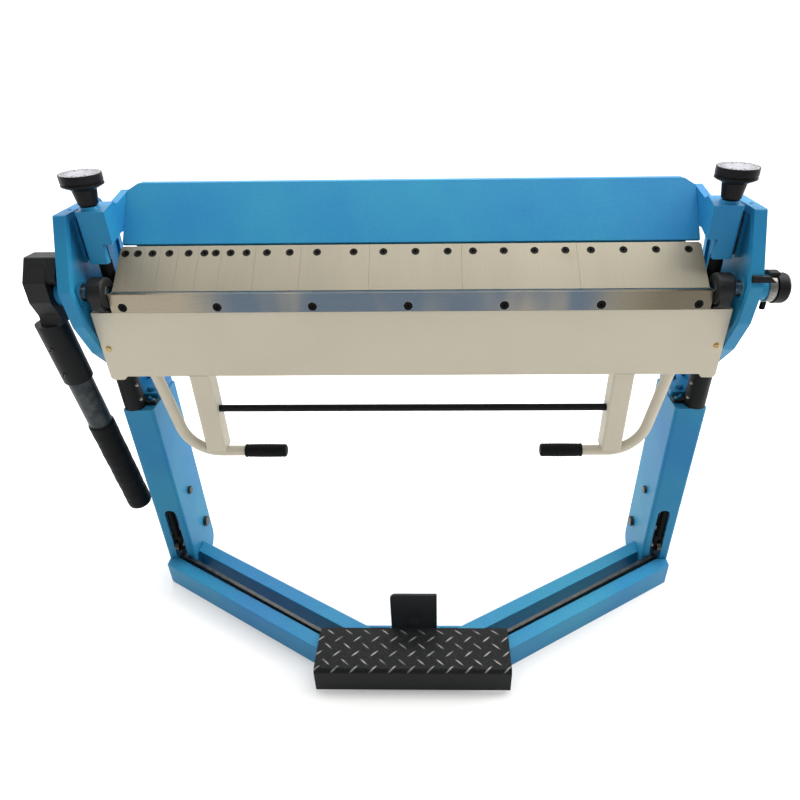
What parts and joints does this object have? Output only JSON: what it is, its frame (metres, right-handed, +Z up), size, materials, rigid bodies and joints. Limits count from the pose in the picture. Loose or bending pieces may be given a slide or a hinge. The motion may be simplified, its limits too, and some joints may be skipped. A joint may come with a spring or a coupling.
{
  "type": "foot-operated box and pan brake",
  "caption": "Floor-standing box and pan brake with segmented fingers, a swinging apron with handles and side lever, and a foot pedal that clamps the beam.",
  "frame": {"origin": "on the floor, midway between the four floor anchor holes of the two legs", "axes": "+X along the bend line to the right of someone facing the machine, +Y to the back of the machine, +Z up"},
  "size_m": [1.6025, 0.546, 1.136],
  "materials": {
    "blue_paint": "satin",
    "black_paint": "satin",
    "beige_paint": "matte",
    "finger_steel": "brushed",
    "bar_steel": "polished",
    "dark_steel": "oiled",
    "bolt_steel": "blackened",
    "zinc": "zinc plated",
    "bronze": "machined",
    "black_rubber": "matte",
    "black_plastic": "satin",
    "silver": "turned"
  },
  "bodies": {
    "frame": {"side_frame_left": "blue_paint", "side_frame_right": "blue_paint", "leg_left": "blue_paint", "leg_right": "blue_paint", "front_base_tubes": "blue_paint", "rear_base_tubes": "blue_paint", "base_cross_tube": "blue_paint", "bed_beam": "blue_paint", "bed_end_brackets": "blue_paint", "rear_tie_beam": "blue_paint", "rod_guides": "black_paint", "shaft_bushes": "bronze", "beam_guides": "dark_steel", "treadle_pivot_bolts": "zinc", "spring_anchor_bolts": "zinc", "return_springs": "dark_steel", "angle_pointer": "black_paint", "latch_bracket": "blue_paint", "latch_pin": "zinc"},
    "apron": {"apron_panel": "beige_paint", "bending_bar": "bar_steel", "bar_seat_rail": "beige_paint", "bar_screws": "bolt_steel", "hinge_blocks": "black_paint", "pivot_shaft_left": "bar_steel", "pivot_shaft_right": "bar_steel", "handle_tubes": "beige_paint", "handle_grips": "black_rubber", "handle_struts": "beige_paint", "handle_tie_rod": "black_paint", "lever_head": "black_paint", "lever_socket": "black_paint", "lever_pipe": "zinc", "lever_grip": "black_rubber", "stop_cap": "black_paint"},
    "stop_ring": {"graduated_ring": "silver", "ring_lock_screw": "dark_steel"},
    "clamp_beam": {"clamp_beam_box": "blue_paint", "finger_seat_bar": "dark_steel", "end_blocks": "blue_paint", "finger_screws": "bolt_steel", "pull_rods": "dark_steel", "rod_pins": "zinc", "finger_100": "finger_steel", "finger_150": "finger_steel", "finger_200": "finger_steel", "finger_25": "finger_steel", "finger_250": "finger_steel", "finger_270": "finger_steel", "finger_30": "finger_steel", "finger_35": "finger_steel", "finger_40": "finger_steel", "finger_45": "finger_steel", "finger_50": "finger_steel", "finger_75": "finger_steel"},
    "knob_left_body": {"knob_left": "black_plastic"},
    "knob_right_body": {"knob_right": "black_plastic"},
    "treadle": {"treadle_arms": "dark_steel", "pedal_plate": "black_paint"},
    "release_latch": {"latch_plate": "black_paint"}
  },
  "joints": [
    {"name": "apron_swing", "type": "hinge", "parent": "frame", "child": "apron", "pos_m": [0, -0.095, 0.9], "axis": [-1, 0, 0], "range_deg": [0, 135]},
    {"name": "stop_ring_turn", "type": "hinge", "parent": "apron", "child": "stop_ring", "pos_m": [0.7543, -0.095, 0.9], "axis": [-1, 0, 0], "range_deg": [0, 135]},
    {"name": "beam_lift", "type": "slide", "parent": "frame", "child": "clamp_beam", "axis": [0, 0, 1], "range_m": [0, 0.042]},
    {"name": "treadle_swing", "type": "hinge", "parent": "frame", "child": "treadle", "pos_m": [0, 0.047, 0.112], "axis": [-1, 0, 0], "range_deg": [0, 25]},
    {"name": "knob_left_turn", "type": "hinge", "parent": "clamp_beam", "child": "knob_left_body", "pos_m": [-0.656, -0.046, 1.1], "axis": [0, 0, 1], "continuous": true},
    {"name": "knob_right_turn", "type": "hinge", "parent": "clamp_beam", "child": "knob_right_body", "pos_m": [0.656, -0.046, 1.1], "axis": [0, 0, 1], "continuous": true},
    {"name": "latch_tilt", "type": "hinge", "parent": "frame", "child": "release_latch", "pos_m": [0, -0.285, 0.038], "axis": [-1, 0, 0], "range_deg": [0, 25], "stiffness_Nm_per_rad": 4}
  ],
  "couplings": [
    {"joint": "treadle_swing", "follows": "beam_lift", "rad_per_m": 10.363}
  ]
}
